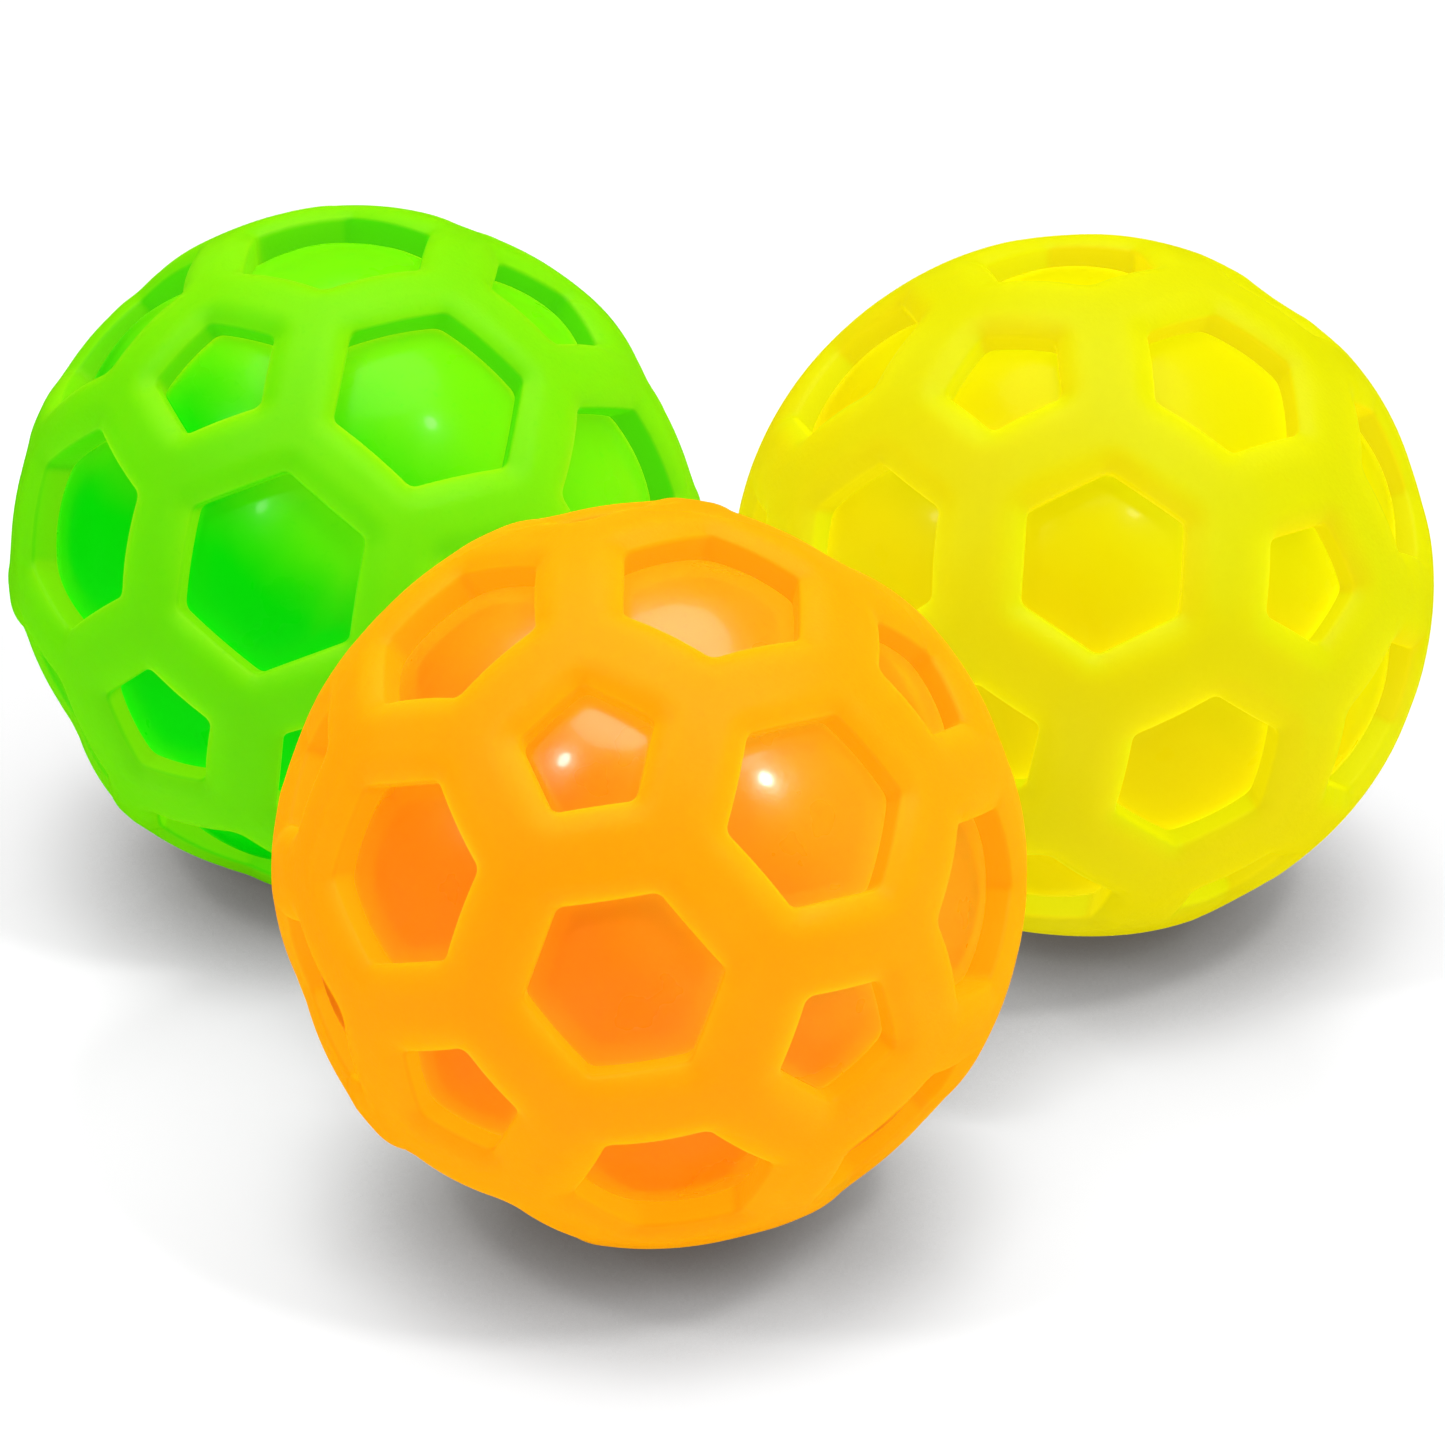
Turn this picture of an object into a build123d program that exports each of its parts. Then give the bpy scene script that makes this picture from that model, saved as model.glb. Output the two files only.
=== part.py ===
"""Set of three reflex balls: honeycomb rubber lattice over an inflated bladder.

Each ball has two bonded lattice half shells, one inflated bladder whose skin
bulges into the windows of the lattice, and one plug in the filling hole.
The openings follow a football pattern: 20 hexagons and 12 pentagons.
Millimetres, +Z up, floor at Z = 0, origin under the middle of the set.
"""
from build123d import *
from math import sqrt
import os

# Ball
BALL_RADIUS = 31.5
RIM_FILLET = 2.0

# Lattice shell
LATTICE_INNER_RADIUS = 25.2
HEXAGON_CORNER_RADIUS = 1.1
PENTAGON_CORNER_RADIUS = 1.0

# Inflated bladder
BLADDER_GAP = 0.1
DOME_GAP = 0.15
BLADDER_WALL = 3.0
DOME_CURVE_RADIUS = 16.4
DOME_APEX_RADIUS = 29.0

# Filling hole and its plug
PLUG_DIAMETER = 3.0
PLUG_CLEARANCE = 0.05
PLUG_FLANGE_DIAMETER = 5.5
PLUG_FLANGE_THICKNESS = 0.9

# Radius to the corners of each ball's hexagon and pentagon windows
WINDOWS = {
    "orange": (8.3, 5.8),
    "green": (9.0, 6.1),
    "yellow": (7.9, 5.6),
}

# Where each ball stands beside the orange one, and how it lies (degrees)
PLACES = {
    "orange": ((0.0, 0.0), (77.8, -3.6, -19.9)),
    "green": ((-27.1, 58.8), (65.7, -12.1, -9.5)),
    "yellow": ((38.35, 51.4), (58.3, 0.9, -4.0)),
}

GOLDEN = (1 + sqrt(5)) / 2


def icosahedron_corners():
    """The 12 pentagon directions, as unit vectors."""
    corners = []
    for a in (-1, 1):
        for b in (-GOLDEN, GOLDEN):
            corners.append(Vector(0, a, b).normalized())
            corners.append(Vector(a, b, 0).normalized())
            corners.append(Vector(b, 0, a).normalized())
    return corners


def are_neighbours(one, other):
    """True for two icosahedron corners that share an edge."""
    return abs(one.dot(other) - 1 / sqrt(5)) < 0.001


def icosahedron_faces(corners):
    """The 20 hexagon directions, each with one pentagon beside it."""
    faces = []
    for i, first in enumerate(corners):
        for j in range(i + 1, 12):
            for k in range(j + 1, 12):
                second = corners[j]
                third = corners[k]
                joined = are_neighbours(first, second)
                joined = joined and are_neighbours(second, third)
                joined = joined and are_neighbours(first, third)
                if joined:
                    middle = (first + second + third).normalized()
                    faces.append((middle, first))
    return faces


def cell_plane(direction, towards):
    """A plane facing out along direction, with X pointing at a neighbour."""
    sideways = towards - direction * towards.dot(direction)
    return Plane(origin=(0, 0, 0), x_dir=sideways, z_dir=direction)


def ball_cells():
    """Planes of all cells, turned so a hexagon is the front pole (+Z)."""
    corners = icosahedron_corners()
    faces = icosahedron_faces(corners)
    pole = cell_plane(faces[0][0], faces[0][1])
    hexagons = []
    pentagons = []
    for middle, corner in faces:
        direction = pole.to_local_coords(middle)
        hexagons.append(cell_plane(direction, pole.to_local_coords(corner)))
    for corner in corners:
        nearest = max(faces, key=lambda face: face[0].dot(corner))
        direction = pole.to_local_coords(corner)
        towards = pole.to_local_coords(nearest[0])
        pentagons.append(cell_plane(direction, towards))
    return hexagons, pentagons


def window_prism(plane, sides, radius, corner, inset, low, high):
    """A rounded polygon prism between two distances from the centre."""
    outline = RegularPolygon(radius, sides, rotation=180 / sides)
    outline = fillet(outline.vertices(), corner)
    if inset > 0:
        outline = offset(outline, -inset)
    prism = extrude(outline, high - low)
    return plane.location * Pos(0, 0, low) * prism


def window_prisms(windows, inset, low, high):
    """The openings of one ball as prisms, hexagons first."""
    hexagons, pentagons = ball_cells()
    hexagon_radius, pentagon_radius = windows
    prisms = []
    for plane in hexagons:
        prisms.append(window_prism(plane, 6, hexagon_radius,
                                   HEXAGON_CORNER_RADIUS, inset, low, high))
    for plane in pentagons:
        prisms.append(window_prism(plane, 5, pentagon_radius,
                                   PENTAGON_CORNER_RADIUS, inset, low, high))
    return prisms


def on_outer_sphere(edge):
    """True for an edge whose middle lies on the ball's outer surface."""
    return abs((edge @ 0.5).length - BALL_RADIUS) < 0.01


def make_lattice(windows):
    """The whole lattice, with rounded ribs, before it is split."""
    shell = Sphere(BALL_RADIUS) - Sphere(LATTICE_INNER_RADIUS)
    shell = shell - window_prisms(windows, 0, 20.0, 36.0)
    rims = ShapeList([e for e in shell.edges() if on_outer_sphere(e)])
    return fillet(rims, RIM_FILLET)


def make_bladder(windows):
    """Hollow inflated skin with a dome standing up into every window."""
    outer_radius = LATTICE_INNER_RADIUS - BLADDER_GAP
    dome_centre = DOME_APEX_RADIUS - DOME_CURVE_RADIUS
    hexagons, pentagons = ball_cells()
    plugs = window_prisms(windows, DOME_GAP, 22.5, 31.0)
    domes = []
    for plane, prism in zip(hexagons + pentagons, plugs):
        cap = plane.location * Pos(0, 0, dome_centre) * Sphere(DOME_CURVE_RADIUS)
        domes.append(prism & cap)
    skin = Sphere(outer_radius) + domes
    skin = skin - Sphere(outer_radius - BLADDER_WALL)
    hole = Cylinder(PLUG_DIAMETER / 2, 12)
    return skin - filling_plane().location * Pos(0, 0, 26) * hole


def filling_plane():
    """The pentagon cell nearest the back pole, where the bladder is filled."""
    pentagons = ball_cells()[1]
    return min(pentagons, key=lambda plane: round(plane.z_dir.Z, 3))


def make_plug():
    """Mushroom plug: flange inside the skin, stem flush with the dome."""
    inner_radius = LATTICE_INNER_RADIUS - BLADDER_GAP - BLADDER_WALL
    flange_top = sqrt(inner_radius ** 2 - (PLUG_FLANGE_DIAMETER / 2) ** 2)
    flange_base = flange_top - PLUG_FLANGE_THICKNESS
    stem_length = DOME_APEX_RADIUS + 1 - flange_base
    stem = Cylinder(PLUG_DIAMETER / 2 - PLUG_CLEARANCE, stem_length,
                    align=(Align.CENTER, Align.CENTER, Align.MIN))
    flange = Cylinder(PLUG_FLANGE_DIAMETER / 2, PLUG_FLANGE_THICKNESS,
                      align=(Align.CENTER, Align.CENTER, Align.MIN))
    dome_centre = DOME_APEX_RADIUS - DOME_CURVE_RADIUS
    dome = Pos(0, 0, dome_centre) * Sphere(DOME_CURVE_RADIUS)
    plug = Pos(0, 0, flange_base) * (stem + flange)
    return filling_plane().location * (plug & dome)


def split_halves(lattice):
    """Front and back half shells, meeting on the flat plane between windows."""
    front = split(lattice, bisect_by=Plane.XY, keep=Keep.TOP)
    back = split(lattice, bisect_by=Plane.XY, keep=Keep.BOTTOM)
    return front, back


def make_ball(windows):
    """The four pieces of one ball, centred on the origin."""
    lattice = make_lattice(windows)
    front, back = split_halves(lattice)
    return {
        "front_half_lattice": front,
        "back_half_lattice": back,
        "bladder": make_bladder(windows),
        "fill_plug": make_plug(),
    }


def placed_set():
    """Every piece of the three balls, each ball standing on the floor."""
    pieces = {}
    for colour, (spot, turn) in PLACES.items():
        ball = make_ball(WINDOWS[colour])
        place = Pos(spot[0], spot[1], 0) * Rotation(*turn)
        placed = {name: place * piece for name, piece in ball.items()}
        halves = [placed["front_half_lattice"], placed["back_half_lattice"]]
        lowest = min(half.bounding_box().min.Z for half in halves)
        for name, piece in placed.items():
            pieces[colour + "_" + name] = Pos(0, 0, -lowest) * piece
    return pieces


def centred(pieces):
    """Move the set so that the middle of its footprint is at X = Y = 0."""
    boxes = [piece.bounding_box() for piece in pieces.values()]
    x_middle = (min(b.min.X for b in boxes) + max(b.max.X for b in boxes)) / 2
    y_middle = (min(b.min.Y for b in boxes) + max(b.max.Y for b in boxes)) / 2
    return {name: Pos(-x_middle, -y_middle, 0) * piece
            for name, piece in pieces.items()}


pieces = centred(placed_set())
os.makedirs("parts", exist_ok=True)
for name, piece in pieces.items():
    export_step(piece, "parts/" + name + ".step")
    box = piece.bounding_box()
    print(name, round(piece.volume), "mm3", len(piece.solids()), "solid", piece.is_valid,
          [round(v, 2) for v in (*box.min, *box.max)])
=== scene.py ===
"""Set of three neon reflex balls: honeycomb lattices over domed bladders."""
import math
import bmesh
import bpy
import numpy as np
from mathutils import Matrix, Vector, noise


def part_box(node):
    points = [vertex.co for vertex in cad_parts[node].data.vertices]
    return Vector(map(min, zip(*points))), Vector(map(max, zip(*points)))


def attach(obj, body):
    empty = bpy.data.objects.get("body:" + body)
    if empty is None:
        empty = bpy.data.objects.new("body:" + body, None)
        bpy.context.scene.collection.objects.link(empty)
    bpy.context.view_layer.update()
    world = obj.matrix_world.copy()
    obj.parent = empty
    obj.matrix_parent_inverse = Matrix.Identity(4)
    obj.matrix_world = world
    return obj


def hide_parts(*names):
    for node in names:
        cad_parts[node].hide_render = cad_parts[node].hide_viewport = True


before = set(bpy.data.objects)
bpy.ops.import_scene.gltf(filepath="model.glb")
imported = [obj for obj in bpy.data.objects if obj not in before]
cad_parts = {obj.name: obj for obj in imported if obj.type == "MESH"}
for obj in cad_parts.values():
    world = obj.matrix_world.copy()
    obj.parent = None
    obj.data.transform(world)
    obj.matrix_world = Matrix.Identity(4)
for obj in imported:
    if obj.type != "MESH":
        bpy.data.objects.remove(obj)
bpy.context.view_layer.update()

MM = 0.001

# Ball, in millimetres, as the CAD has it
BALL_RADIUS = 31.5
LATTICE_INNER_RADIUS = 25.2
WINDOWS = {
    "orange": {6: 8.3, 5: 5.8},
    "green": {6: 9.0, 5: 6.1},
    "yellow": {6: 7.9, 5: 5.6},
}
CORNER_RADIUS = {6: 1.1, 5: 1.0}
BLADDER_RADIUS = 25.1
BLADDER_INNER_RADIUS = 22.1
DOME_GAP = 0.15
DOME_CURVE_RADIUS = 16.4
DOME_APEX_RADIUS = 29.0

# Crown of the ribs
RIM_DROP = 1.2
CROWN_WIDTH = 3.0
CROWN_POWER = 2.2
RIM_ROUND = 0.3
TUCK = 0.3
PARTING_WIDTH = 0.4
PARTING_RISE = 0.05

# Unevenness of the soft rubber: the size of its waves, and their depth
LATTICE_SWAY = (13.0, 0.22)
DOME_SWAY = (6.0, 0.10)

# Mesh fineness
SIDE_STEPS = 20
PLUG_STEPS = 48

# How each ball lies: turns about X, then its own Y, then its own Z (degrees)
TURNS = {
    "orange": (77.8, -3.6, -19.9),
    "green": (65.7, -12.1, -9.5),
    "yellow": (58.3, 0.9, -4.0),
}
# Painted light and shade: the rubber is painted paler where it faces this way at rest,
# and deeper opposite
PAINTED_LIGHT_SIDE = (0.60, 0.39, 0.70)
PAINTED_LIGHT_RANGE = (-0.35, 0.6)
SEEDS = {"orange": 3.0, "green": 11.0, "yellow": 23.0}


# ---------------------------------------------------------------- pattern

def unit(v):
    v = np.asarray(v, float)
    return v / np.linalg.norm(v, axis=-1, keepdims=True)


def football_cells():
    """The 20 hexagon and 12 pentagon cells of the ball, front pole on +Z.

    Each cell is (sides, axes, corners): axes is a 3x3 matrix whose rows are
    the cell's own X, Y and outward direction, and corners are the unit
    directions of its corners, anticlockwise seen from outside.
    """
    golden = (1 + math.sqrt(5)) / 2
    points = []
    for a in (-1, 1):
        for b in (-golden, golden):
            points += [(0, a, b), (a, b, 0), (b, 0, a)]
    points = unit(points)
    near = 1 / math.sqrt(5)
    faces = []
    for i in range(12):
        for j in range(i + 1, 12):
            for k in range(j + 1, 12):
                trio = points[[i, j, k]]
                dots = (trio[0] @ trio[1], trio[1] @ trio[2], trio[0] @ trio[2])
                if all(abs(d - near) < 1e-6 for d in dots):
                    faces.append((unit(trio.sum(0)), points[i]))
    corners = []
    for a in points:
        for b in points:
            if abs(a @ b - near) < 1e-6:
                corners.append(unit(2 * a + b))
    corners = np.array(corners)

    def axes(direction, towards):
        x = unit(towards - direction * (towards @ direction))
        return np.array([x, np.cross(direction, x), direction])

    pole = axes(*faces[0])
    cells = []
    for direction, towards in faces:
        cells.append((6, direction, towards))
    for p in points:
        nearest = max((f[0] for f in faces), key=lambda d: d @ p)
        cells.append((5, p, nearest))
    out = []
    for sides, direction, towards in cells:
        around = corners[np.argsort(-(corners @ direction))[:sides]] @ pole.T
        own = axes(pole @ direction, pole @ towards)
        angle = np.arctan2(around @ own[1], around @ own[0])
        out.append((sides, own, around[np.argsort(angle)]))
    return out


def ray_to_window(angle, sides, radius, corner):
    """Distance from the centre to a rounded polygon's outline along rays."""
    inner = radius - corner / math.cos(math.pi / sides)
    inradius = inner * math.cos(math.pi / sides)
    step = 2 * math.pi / sides
    a = (angle + step / 2) % step - step / 2
    flat = (inradius + corner) / np.cos(a)
    side_half = inner * math.sin(math.pi / sides)
    on_flat = np.abs(flat * np.sin(a)) <= side_half
    # Ray against the corner's circle, centred on the inner polygon's corner
    d = np.abs(a) - step / 2
    b = inner * np.cos(d)
    arc = b + np.sqrt(np.maximum(b * b - inner * inner + corner * corner, 0))
    return np.where(on_flat, flat, arc)


def outline_distance(u, v, sides, radius, corner):
    """Signed distance in the cell's plane to the rounded window outline."""
    step = 2 * math.pi / sides
    inner = radius - corner / math.cos(math.pi / sides)
    inradius = inner * math.cos(math.pi / sides)
    side_half = inner * math.sin(math.pi / sides)
    angle = np.arctan2(v, u)
    a = (angle + step / 2) % step - step / 2
    rho = np.hypot(u, v)
    along = np.abs(rho * np.sin(a))
    out = rho * np.cos(a) - inradius
    over = np.maximum(along - side_half, 0)
    outside = np.hypot(over, np.maximum(out, 0))
    return np.where(out > 0, outside, out) - corner


def side_fractions():
    """Steps along one side of a cell, closer together near its corners."""
    x = np.arange(SIDE_STEPS) / SIDE_STEPS
    return x - 0.7 * np.sin(2 * math.pi * x) / (2 * math.pi)


def cell_boundary(corners):
    """Unit directions round a cell's boundary."""
    points = []
    t = side_fractions()[:, None]
    for i in range(len(corners)):
        a = corners[i]
        b = corners[(i + 1) % len(corners)]
        points.append(unit(a * (1 - t) + b * t))
    return np.concatenate(points)


def crown_drop(d):
    """How far the rib's top lies below the ball's surface, d from the rim."""
    x = np.clip(d / CROWN_WIDTH, 0, 1)
    return RIM_DROP * (1 - x) ** CROWN_POWER


class Shell:
    """Collects rings of points and joins them into one mesh."""

    def __init__(self):
        self.points = []
        self.tags = []
        self.faces = []
        self.count = 0

    def rings(self, rings, tags):
        """Closed rings of equal length, joined one to the next."""
        n = len(rings[0])
        start = self.count
        for ring, tag in zip(rings, tags):
            self.points.append(ring)
            self.tags.append(np.broadcast_to(tag, n))
        index = np.arange(n)
        after = (index + 1) % n
        for k in range(len(rings) - 1):
            a = start + k * n
            b = a + n
            quad = np.stack([a + index, a + after, b + after, b + index], 1)
            self.faces.append(quad)
        self.count += n * len(rings)
        return start

    def fan(self, centre, tag, ring_start, n):
        """Triangles from one point to a ring."""
        self.points.append(np.array([centre]))
        self.tags.append(np.array([tag]))
        index = ring_start + np.arange(n)
        after = ring_start + (np.arange(n) + 1) % n
        tip = np.full(n, self.count)
        self.faces.append(np.stack([tip, index, after], 1))
        self.count += 1

    def merged(self):
        """Points, tags and faces with coincident points joined."""
        points = np.concatenate(self.points)
        tags = np.concatenate(self.tags)
        key = np.round(points, 4) + 0.0
        _, first, back = np.unique(key, axis=0, return_index=True,
                                   return_inverse=True)
        back = back.reshape(-1)
        faces = []
        for block in self.faces:
            faces += [tuple(f) for f in back[block]]
        return points[first], tags[first], faces


def wobble(points, seed, size, depth):
    """Smooth uneven offsets along the radius, in millimetres."""
    out = np.empty(len(points))
    shift = Vector((seed, seed * 0.7, -seed))
    for i, p in enumerate(points):
        out[i] = noise.noise(Vector(p) / size + shift)
    return out * depth


def swayed(points, seed, waves, share):
    """Points moved along the radius by their share of the unevenness."""
    return points + unit(points) * (wobble(points, seed, *waves) * share)[:, None]


def lattice_shell(cells, windows):
    """The whole lattice: crowned ribs, rounded rims, walls and inner face."""
    shell = Shell()
    # Closer together towards the cell's edge
    crown = 1 - (1 - np.linspace(0, 1, 13)) ** 1.35
    for sides, axes, corners in cells:
        radius = windows[sides]
        corner = CORNER_RADIUS[sides]
        edge = cell_boundary(corners)
        flat = edge @ axes.T * BALL_RADIUS
        angle = np.arctan2(flat[:, 1], flat[:, 0])
        reach = ray_to_window(angle, sides, radius, corner)
        window = np.stack([np.cos(angle), np.sin(angle)], 1) * reach[:, None]
        rings = []
        tags = []

        def add(uv, height, tag):
            local = np.column_stack([uv, height])
            rings.append(local @ axes)
            tags.append(tag)

        def on_crown(uv):
            d = outline_distance(uv[:, 0], uv[:, 1], sides, radius, corner)
            r = BALL_RADIUS - crown_drop(np.maximum(d, 0))
            rho2 = (uv ** 2).sum(1)
            return np.sqrt(r * r - rho2), np.clip(1 - d / CROWN_WIDTH, 0, 1)

        # Crown, from the cell's edge in to the rim's rounding
        span = np.linalg.norm(flat[:, :2] - window, axis=1)[:, None]
        for t in crown[::-1]:
            start = np.minimum(RIM_ROUND * 1.15 / span, 0.5)
            f = start + (1 - start) * t
            uv = window * (1 - f) + flat[:, :2] * f
            height, tag = on_crown(uv)
            add(uv, height, tag)
        # Rounded rim: a short curve from the crown's slope into the wall
        outer_uv, outer_h = uv, height
        rim_h, _ = on_crown(window)
        for t in (0.25, 0.5, 0.75, 1.0):
            a = (1 - t) ** 2
            b = 2 * t * (1 - t)
            c = t * t
            uv = outer_uv * a + window * (b + c)
            height = outer_h * a + rim_h * b + (rim_h - RIM_ROUND) * c
            add(uv, height, 1.0 + 0.2 * t)
        # Wall down to the inner face
        base = np.sqrt(LATTICE_INNER_RADIUS ** 2 - reach ** 2)
        top = rim_h - RIM_ROUND
        for t in (0.3, 0.65, 1.0):
            add(window, top * (1 - t) + base * t, 1.2 + 0.8 * t)
        # Inner face, back out to the cell's edge
        inner = edge @ axes.T * LATTICE_INNER_RADIUS
        for t in (0.5, 1.0):
            uv = window * (1 - t) + inner[:, :2] * t
            height = np.sqrt(LATTICE_INNER_RADIUS ** 2 - (uv ** 2).sum(1))
            add(uv, height, 2.0)
        shell.rings(rings, tags)
    return shell.merged()


def filling_cell(cells):
    """Number of the pentagon cell nearest the back pole, as in the CAD."""
    pentagons = [i for i, cell in enumerate(cells) if cell[0] == 5]
    return min(pentagons, key=lambda i: round(cells[i][1][2][2], 3))


def dome_height(rho2):
    centre = DOME_APEX_RADIUS - DOME_CURVE_RADIUS
    return centre + np.sqrt(DOME_CURVE_RADIUS ** 2 - rho2)


def bladder_shell(cells, windows, filling):
    """The inflated skin: a dome in every window, and a pocket for the plug."""
    shell = Shell()
    for number, (sides, axes, corners) in enumerate(cells):
        radius = windows[sides] - DOME_GAP / math.cos(math.pi / sides)
        corner = CORNER_RADIUS[sides] - DOME_GAP
        edge = cell_boundary(corners)
        flat = edge @ axes.T * BLADDER_RADIUS
        angle = np.arctan2(flat[:, 1], flat[:, 0])
        reach = ray_to_window(angle, sides, radius, corner)
        ray = np.stack([np.cos(angle), np.sin(angle)], 1)
        rings = []
        tags = []

        def add(uv, height, tag):
            rings.append(np.column_stack([uv, height]) @ axes)
            tags.append(tag)

        # Skin under the ribs, then the dome's side
        for t in (0.0, 0.5, 1.0):
            uv = flat[:, :2] * (1 - t) + ray * reach[:, None] * t
            height = np.sqrt(BLADDER_RADIUS ** 2 - (uv ** 2).sum(1))
            add(uv, height, 2.0)
        tuck = ray * (reach + TUCK)[:, None]
        edge_h = dome_height(reach ** 2)
        add(tuck, edge_h - 0.6, 1.6)
        add(tuck, edge_h - 0.1, 1.3)
        if number == filling:
            fractions = np.linspace(1.0, 0.42, 14)
        else:
            fractions = np.linspace(1.0, 0.1, 19)
        for f in fractions:
            uv = ray * (reach * f)[:, None]
            add(uv, dome_height((reach * f) ** 2), f)
        if number == filling:
            for rho, depth in ((1.62, 0.0), (1.5, 0.08), (1.46, 0.5)):
                uv = ray * rho
                add(uv, dome_height(np.full(len(ray), rho * rho)) - depth, 1.2)
            tip = dome_height(0.0) - 0.5
        else:
            tip = dome_height(0.0)
        start = shell.rings(rings, tags)
        last = start + len(ray) * (len(rings) - 1)
        shell.fan(np.array([0, 0, tip]) @ axes, 0.0, last, len(ray))
    return shell.merged()


def plug_shell(axes):
    """The fill plug's button: a low rounded disc in its pocket."""
    shell = Shell()
    angle = np.linspace(0, 2 * math.pi, PLUG_STEPS, endpoint=False)
    ray = np.stack([np.cos(angle), np.sin(angle)], 1)
    apex = DOME_APEX_RADIUS
    profile = ((1.40, -0.48), (1.42, -0.14), (1.38, -0.03), (1.28, 0.04),
               (1.1, 0.06), (0.7, 0.07), (0.55, 0.06), (0.45, 0.0), (0.25, -0.05))
    rings = []
    for rho, rise in profile:
        drop = dome_height(rho * rho) - apex
        uv = ray * rho
        height = np.full(PLUG_STEPS, apex + drop + rise)
        rings.append(np.column_stack([uv, height]) @ axes)
    start = shell.rings(rings, [1.0] * len(rings))
    last = start + PLUG_STEPS * (len(rings) - 1)
    shell.fan(np.array([0, 0, apex - 0.06]) @ axes, 0.5, last, PLUG_STEPS)
    return shell.merged()


# ---------------------------------------------------------------- meshes

def ball_centre(colour):
    """Centre of a ball, from the round inside face of its CAD bladder."""
    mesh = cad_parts[colour + "_bladder"].data
    points = np.empty(len(mesh.vertices) * 3)
    mesh.vertices.foreach_get("co", points)
    points = points.reshape(-1, 3)
    low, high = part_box(colour + "_bladder")
    centre = (np.array(low) + np.array(high)) / 2
    for _ in range(3):
        r = np.linalg.norm(points - centre, axis=1)
        inner = points[r < (BLADDER_INNER_RADIUS + 1.2) * MM]
        system = np.column_stack([2 * inner, np.ones(len(inner))])
        answer = np.linalg.lstsq(system, (inner ** 2).sum(1), rcond=None)[0]
        centre = answer[:3]
    return centre


def ball_matrix(colour):
    x, y, z = (math.radians(a) for a in TURNS[colour])
    turn = Matrix.Rotation(x, 4, "X") @ Matrix.Rotation(y, 4, "Y")
    turn = turn @ Matrix.Rotation(z, 4, "Z")
    return Matrix.Translation(Vector(ball_centre(colour))) @ turn @ Matrix.Scale(MM, 4)


def make_mesh(name, points, tags, faces):
    mesh = bpy.data.meshes.new(name)
    mesh.from_pydata(points.tolist(), [], faces)
    tag = mesh.attributes.new("rim", "FLOAT", "POINT")
    tag.data.foreach_set("value", np.ascontiguousarray(tags, dtype=np.float32))
    mesh.validate()
    return mesh


def add_painted_light(mesh):
    """Marks how far each point faces the painted light side, for the painted light and
    shade in its colour; it turns with the ball.
    """
    normals = np.empty(len(mesh.vertices) * 3)
    mesh.vertex_normals.foreach_get("vector", normals)
    painted_light = normals.reshape(-1, 3) @ np.array(PAINTED_LIGHT_SIDE)
    painted_light = np.clip((painted_light - PAINTED_LIGHT_RANGE[0]) / (PAINTED_LIGHT_RANGE[1] - PAINTED_LIGHT_RANGE[0]), 0, 1)
    layer = mesh.attributes.new("painted_light", "FLOAT", "POINT")
    layer.data.foreach_set("value", painted_light.astype(np.float32))


def show(name, mesh, matrix, body, nodes, material):
    mesh.transform(matrix)
    mesh.polygons.foreach_set("use_smooth", [True] * len(mesh.polygons))
    mesh.update()
    add_painted_light(mesh)
    obj = bpy.data.objects.new(name, mesh)
    bpy.context.scene.collection.objects.link(obj)
    mesh.materials.append(material)
    obj.visible_diffuse = False
    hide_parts(*nodes)
    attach(obj, body)
    return obj


def add_parting_line(mesh):
    """The fine raised line where the two halves are bonded, on the equator."""
    bm = bmesh.new()
    bm.from_mesh(mesh)
    for height in (-PARTING_WIDTH / 2, 0.0, PARTING_WIDTH / 2):
        geometry = bm.verts[:] + bm.edges[:] + bm.faces[:]
        bmesh.ops.bisect_plane(bm, geom=geometry, dist=1e-5,
                               plane_co=(0, 0, height), plane_no=(0, 0, 1))
    for v in bm.verts:
        if abs(v.co.z) < 1e-4 and v.co.length > LATTICE_INNER_RADIUS + 1.5:
            v.co *= 1 + PARTING_RISE / v.co.length
    bm.to_mesh(mesh)
    bm.free()


# ---------------------------------------------------------------- materials

def linear(*rgb):
    """Linear colour from 0-255 display values."""
    out = []
    for v in rgb:
        v /= 255
        out.append(v / 12.92 if v <= 0.04045 else ((v + 0.055) / 1.055) ** 2.4)
    return (*out, 1.0)


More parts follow.
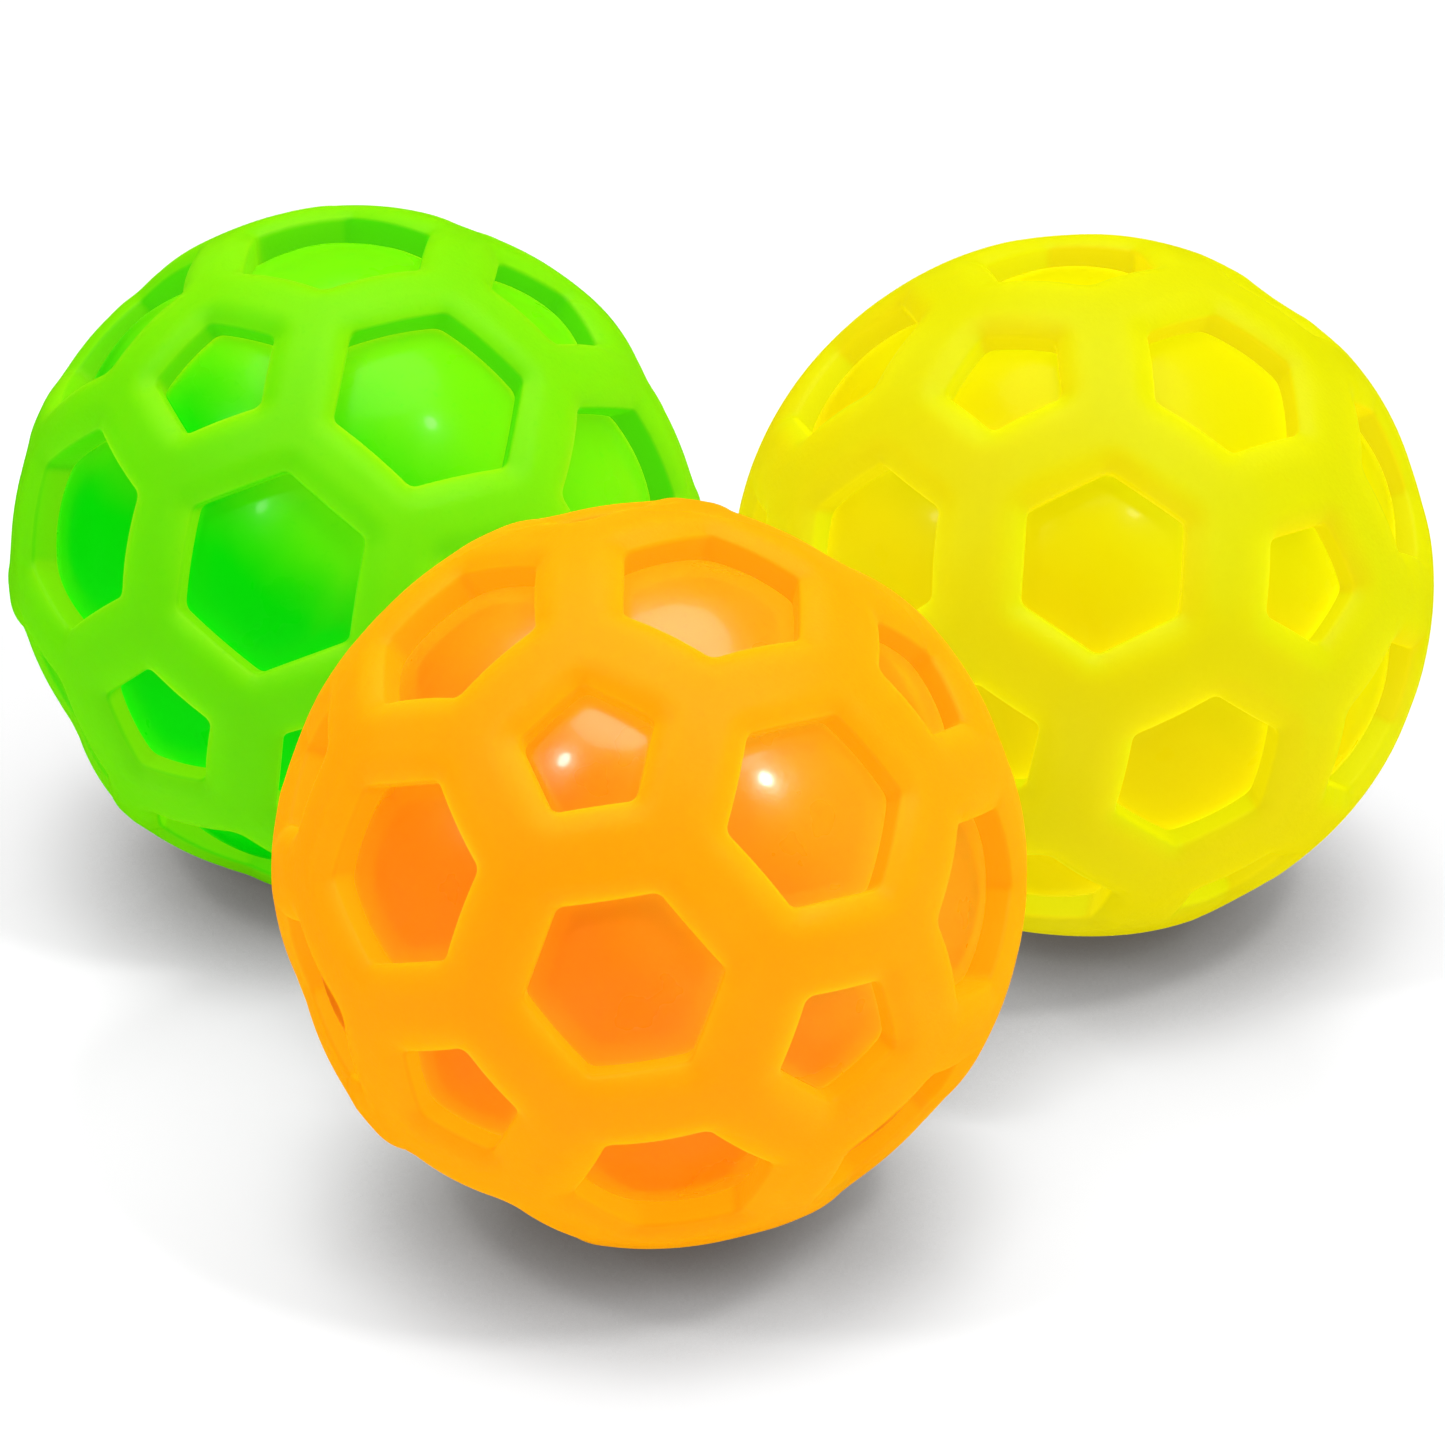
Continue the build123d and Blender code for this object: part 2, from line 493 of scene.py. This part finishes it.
class Nodes:
    """Small helper for building one material's node tree."""

    def __init__(self, name):
        self.material = bpy.data.materials.new(name)
        self.material.use_nodes = True
        self.tree = self.material.node_tree
        self.tree.nodes.clear()

    def add(self, kind, **values):
        node = self.tree.nodes.new(kind)
        for key, value in values.items():
            if hasattr(node, key):
                setattr(node, key, value)
            else:
                node.inputs[key.replace("_", " ")].default_value = value
        return node

    def link(self, a, b):
        self.tree.links.new(a, b)

    def noise(self, coordinates, scale, detail=2.0, roughness=0.5):
        node = self.add("ShaderNodeTexNoise", Scale=scale, Detail=detail,
                        Roughness=roughness)
        self.link(coordinates, node.inputs["Vector"])
        return node.outputs["Fac"]

    def scaled(self, value, low_in, high_in, low, high):
        node = self.add("ShaderNodeMapRange")
        for i, v in enumerate((low_in, high_in, low, high)):
            node.inputs[i + 1].default_value = v
        self.link(value, node.inputs[0])
        return node.outputs[0]

    def ramp(self, value, *stops):
        node = self.add("ShaderNodeValToRGB")
        ramp = node.color_ramp
        ramp.interpolation = "EASE"
        while len(ramp.elements) < len(stops):
            ramp.elements.new(0.5)
        for element, (place, colour) in zip(ramp.elements, stops):
            element.position = place
            element.color = colour
        self.link(value, node.inputs[0])
        return node.outputs[0]

    def mix(self, factor, a, b):
        node = self.add("ShaderNodeMix", data_type="RGBA")
        for socket, value in ((node.inputs[0], factor), (node.inputs[6], a),
                              (node.inputs[7], b)):
            if isinstance(value, bpy.types.NodeSocket):
                self.link(value, socket)
            else:
                socket.default_value = value
        return node.outputs[2]


def rubber(name, face, wall, lit, painted_glow, scatter, shine, gloss, coat, grain):
    """Translucent neon rubber.

    face and wall are pairs of colours, deep and pale: face for the crown of a
    rib or the middle of a dome, and wall beyond the rim. The deep colour is
    painted shade, where the surface faces away from the painted light side,
    and the pale one painted light, where it faces it. lit is the share of the
    colour that the lamps show on each, and painted_glow the share given off
    evenly as emission, a painted glow in place of fluorescence and of light
    carried through the rubber. scatter is the depth that light travels in
    it per channel, in metres. gloss is the range of roughness, and coat the
    weight of the wet-looking top layer.
    """
    n = Nodes(name)
    place = n.add("ShaderNodeTexCoord").outputs["Object"]
    rim = n.add("ShaderNodeAttribute", attribute_name="rim").outputs["Fac"]
    painted_light = n.add("ShaderNodeAttribute", attribute_name="painted_light").outputs["Fac"]
    cloud = n.noise(place, 55.0, 3.0)
    speckle = n.noise(place, 1400.0, 2.0, 0.6)
    # Painted light and shade: deep to pale by how far the surface faces the painted
    # light side, plus a random mottle from the cloud noise
    painted_light_and_mottle = n.add("ShaderNodeMath", operation="ADD", use_clamp=True)
    n.link(painted_light, painted_light_and_mottle.inputs[0])
    n.link(n.scaled(cloud, 0.3, 0.7, -0.12, 0.12), painted_light_and_mottle.inputs[1])
    inside = n.scaled(rim, 1.0, 1.12, 0.0, 1.0)
    colour = n.mix(inside, n.ramp(painted_light_and_mottle.outputs[0], (0.0, face[0]), (1.0, face[1])),
                   n.ramp(painted_light_and_mottle.outputs[0], (0.0, wall[0]), (1.0, wall[1])))
    # Faint milky clouds and fine pigment specks in the moulded rubber
    red, green, blue = face[1][:3]
    milky = (red * 0.8 + 0.2, green * 0.8 + 0.2, blue + 0.04, 1.0)
    colour = n.mix(n.scaled(cloud, 0.55, 0.8, 0.0, 0.08), colour, milky)
    colour = n.mix(n.scaled(speckle, 0.6, 0.75, 0.0, 0.12), colour, wall[0])
    shader = n.add("ShaderNodeBsdfPrincipled")
    # The base colour is cut to the lit share, and the painted glow below gives the
    # rest, most on the walls
    dark = n.scaled(inside, 0.0, 1.0, 1 - lit[0], 1 - lit[1])
    n.link(n.mix(dark, colour, (0, 0, 0, 1)), shader.inputs["Base Color"])
    n.link(n.scaled(n.noise(place, 160.0, 3.0), 0.3, 0.7, *gloss),
           shader.inputs["Roughness"])
    shader.inputs["Specular IOR Level"].default_value = shine
    shader.inputs["Coat Weight"].default_value = coat
    shader.inputs["Coat Roughness"].default_value = 0.1
    shader.inputs["Subsurface Weight"].default_value = 0.85
    shader.inputs["Subsurface Radius"].default_value = scatter
    shader.inputs["Subsurface Scale"].default_value = 1.0
    # Painted glow: the colour is also given off evenly as emission, in place of
    # fluorescence and light carried through the rubber, and it fills the walls' shade
    n.link(colour, shader.inputs["Emission Color"])
    n.link(n.scaled(inside, 0.0, 1.0, *painted_glow),
           shader.inputs["Emission Strength"])
    # Waviness of soft moulded skin, then the mould's fine grain
    wavy = n.add("ShaderNodeBump", Strength=0.25, Distance=0.0006)
    n.link(n.noise(place, 140.0, 2.0), wavy.inputs["Height"])
    fine = n.add("ShaderNodeBump", Strength=grain, Distance=0.0001)
    n.link(n.noise(place, 2200.0, 3.0, 0.6), fine.inputs["Height"])
    n.link(wavy.outputs[0], fine.inputs["Normal"])
    n.link(fine.outputs[0], shader.inputs["Normal"])
    out = n.add("ShaderNodeOutputMaterial")
    n.link(shader.outputs[0], out.inputs[0])
    return n.material


# Deep and pale colours of the ribs' crowns, the windows' walls and the domes:
# deep is painted shade on the side facing away from the painted light side,
# pale is painted light on the side facing it. The lit and painted glow shares
# are those at a crown and beyond the rim, or at a dome's middle and its edge;
# the painted glow, highest on the walls, fills their shade.
LOOKS = {
    "orange": {
        "rib": (linear(255, 159, 2), linear(255, 170, 5)),
        "wall": (linear(255, 150, 2), linear(255, 168, 5)),
        "dome": (linear(255, 130, 1), linear(255, 162, 12)),
        "rib_lit": (0.85, 0.30),
        "rib_painted_glow": (0.43, 0.88),
        "dome_lit": (0.90, 0.80),
        "dome_painted_glow": (0.46, 0.52),
        "scatter": (0.0100, 0.0070, 0.0008),
        "shine": 0.8,
        "coat": 0.5,
    },
    "green": {
        "rib": (linear(102, 209, 1), linear(128, 222, 3)),
        "wall": (linear(70, 206, 1), linear(118, 220, 3)),
        "dome": (linear(1, 206, 1), linear(114, 228, 5)),
        "rib_lit": (0.85, 0.30),
        "rib_painted_glow": (0.43, 0.88),
        "dome_lit": (0.90, 0.80),
        "dome_painted_glow": (0.46, 0.52),
        "scatter": (0.0070, 0.0100, 0.0008),
        "shine": 0.12,
        "coat": 0.08,
    },
    "yellow": {
        "rib": (linear(213, 199, 1), linear(210, 211, 1)),
        "wall": (linear(212, 197, 1), linear(210, 210, 1)),
        "dome": (linear(217, 196, 1), linear(217, 211, 1)),
        "rib_lit": (0.70, 0.30),
        "rib_painted_glow": (0.66, 1.10),
        "dome_lit": (0.70, 0.60),
        "dome_painted_glow": (0.72, 0.76),
        "scatter": (0.0120, 0.0105, 0.0012),
        "shine": 0.05,
        "coat": 0.04,
    },
}


# ---------------------------------------------------------------- the balls

cells = football_cells()
filling = filling_cell(cells)
plug_points, plug_tags, plug_faces = plug_shell(cells[filling][1])

for colour, look in LOOKS.items():
    body = colour + "_ball"
    matrix = ball_matrix(colour)
    seed = SEEDS[colour]
    windows = WINDOWS[colour]
    lattice_points, lattice_tags, lattice_faces = lattice_shell(cells, windows)
    bladder_points, bladder_tags, bladder_faces = bladder_shell(cells, windows, filling)
    scatter = look["scatter"]
    rib_rubber = rubber(colour + "_lattice_rubber", look["rib"], look["wall"],
                        look["rib_lit"], look["rib_painted_glow"], scatter, 0.10,
                        (0.42, 0.55), 0.0, 0.35)
    skin_rubber = rubber(colour + "_skin_rubber", look["dome"], look["dome"],
                         look["dome_lit"], look["dome_painted_glow"], scatter,
                         look["shine"], (0.26, 0.34), look["coat"], 0.10)
    plug_rubber = rubber(colour + "_plug_rubber", look["dome"], look["rib"],
                         look["dome_lit"], look["dome_painted_glow"], scatter, 0.2,
                         (0.45, 0.6), 0.0, 0.35)
    # Soft moulded rubber is never quite true: a slow unevenness all over
    outside = np.where(lattice_tags < 2.0, 1.0, 0.0)
    points = swayed(lattice_points, seed, LATTICE_SWAY, outside)
    whole = make_mesh(colour + "_lattice", points, lattice_tags, lattice_faces)
    add_parting_line(whole)
    show(colour + "_bonded_lattice", whole, matrix, body,
         (colour + "_front_half_lattice", colour + "_back_half_lattice"), rib_rubber)
    fade = np.clip((1.0 - bladder_tags) * 4, 0, 1)
    points = swayed(bladder_points, seed + 5, DOME_SWAY, fade)
    mesh = make_mesh(colour + "_bladder_skin", points, bladder_tags, bladder_faces)
    show(colour + "_bladder_skin", mesh, matrix, body,
         [colour + "_bladder"], skin_rubber)
    mesh = make_mesh(colour + "_plug_button", plug_points, plug_tags, plug_faces)
    show(colour + "_plug_button", mesh, matrix, body,
         [colour + "_fill_plug"], plug_rubber)


# ---------------------------------------------------------------- the stage

def floor():
    mesh = bpy.data.meshes.new("floor")
    s = 4.0
    mesh.from_pydata([(-s, -s, 0), (s, -s, 0), (s, s, 0), (-s, s, 0)], [],
                     [(0, 1, 2, 3)])
    obj = bpy.data.objects.new("floor", mesh)
    bpy.context.scene.collection.objects.link(obj)
    n = Nodes("floor_white")
    shader = n.add("ShaderNodeBsdfPrincipled")
    # Painted shade: the floor's colour is darkened where the balls close over it, by
    # ambient occlusion, and clear white beyond
    shade = n.add("ShaderNodeAmbientOcclusion", Distance=0.024)
    shade.samples = 16
    near = n.scaled(shade.outputs["AO"], 0.1, 0.7, 0.0, 1.0)
    n.link(n.mix(near, (0.22, 0.20, 0.18, 1), (0.92, 0.92, 0.92, 1)),
           shader.inputs["Base Color"])
    # Painted light: the floor glows white where nothing is near it, and less where the
    # balls close over it
    n.link(n.scaled(shade.outputs["AO"], 0.22, 0.75, 0.0, 0.3),
           shader.inputs["Emission Strength"])
    shader.inputs["Roughness"].default_value = 0.7
    shader.inputs["Specular IOR Level"].default_value = 0.1
    shader.inputs["Emission Color"].default_value = (1, 1, 1, 1)
    out = n.add("ShaderNodeOutputMaterial")
    n.link(shader.outputs[0], out.inputs[0])
    mesh.materials.append(n.material)
    obj.visible_glossy = False


def softbox(name, direction, distance, size, watts, target):
    light = bpy.data.lights.new(name, "AREA")
    light.shape = "DISK"
    light.size = size
    light.energy = watts
    obj = bpy.data.objects.new(name, light)
    direction = Vector(direction).normalized()
    obj.location = target + direction * distance
    obj.rotation_euler = direction.to_track_quat("Z", "Y").to_euler()
    bpy.context.scene.collection.objects.link(obj)


floor()
scene = bpy.context.scene
world = bpy.data.worlds.new("studio")
world.use_nodes = True
background = world.node_tree.nodes["Background"]
background.inputs[0].default_value = (1, 1, 1, 1)
background.inputs[1].default_value = 0.3
world.cycles_visibility.glossy = False
scene.world = world
middle = Vector((0, 0, 0.03))
softbox("softbox_overhead", (0.0, 0.15, 1.0), 1.2, 1.2, 7.0, middle)
softbox("lamp_right", (0.44, -0.295, 0.85), 1.0, 0.13, 1.8, middle)
softbox("lamp_left", (-0.54, -0.30, 0.78), 1.0, 0.13, 1.2, middle)

# Long lens, looking down at 29 degrees. The orange ball's width, and how far
# its centre lies right of and above the picture's, are shares of the picture
ELEVATION = math.radians(29.0)
LENS = 186.85
SENSOR = 36.0
ORANGE_SHARE = 0.5204
ORANGE_AWAY = (-0.0502, -0.1042)
camera_data = bpy.data.cameras.new("camera")
camera_data.sensor_width = SENSOR
camera_data.lens = LENS
camera_data.clip_start = 0.02
camera_data.clip_end = 20.0
camera = bpy.data.objects.new("camera", camera_data)
scene.collection.objects.link(camera)
right = Vector((1, 0, 0))
up = Vector((0, math.sin(ELEVATION), math.cos(ELEVATION)))
back = Vector((0, -math.cos(ELEVATION), math.sin(ELEVATION)))
picture_width = 2 * BALL_RADIUS * MM / ORANGE_SHARE
camera.location = (Vector(ball_centre("orange"))
                   + back * picture_width * LENS / SENSOR
                   - right * picture_width * ORANGE_AWAY[0]
                   - up * picture_width * ORANGE_AWAY[1])
camera.rotation_euler = (math.pi / 2 - ELEVATION, 0, 0)
scene.camera = camera
scene.view_settings.view_transform = "Standard"
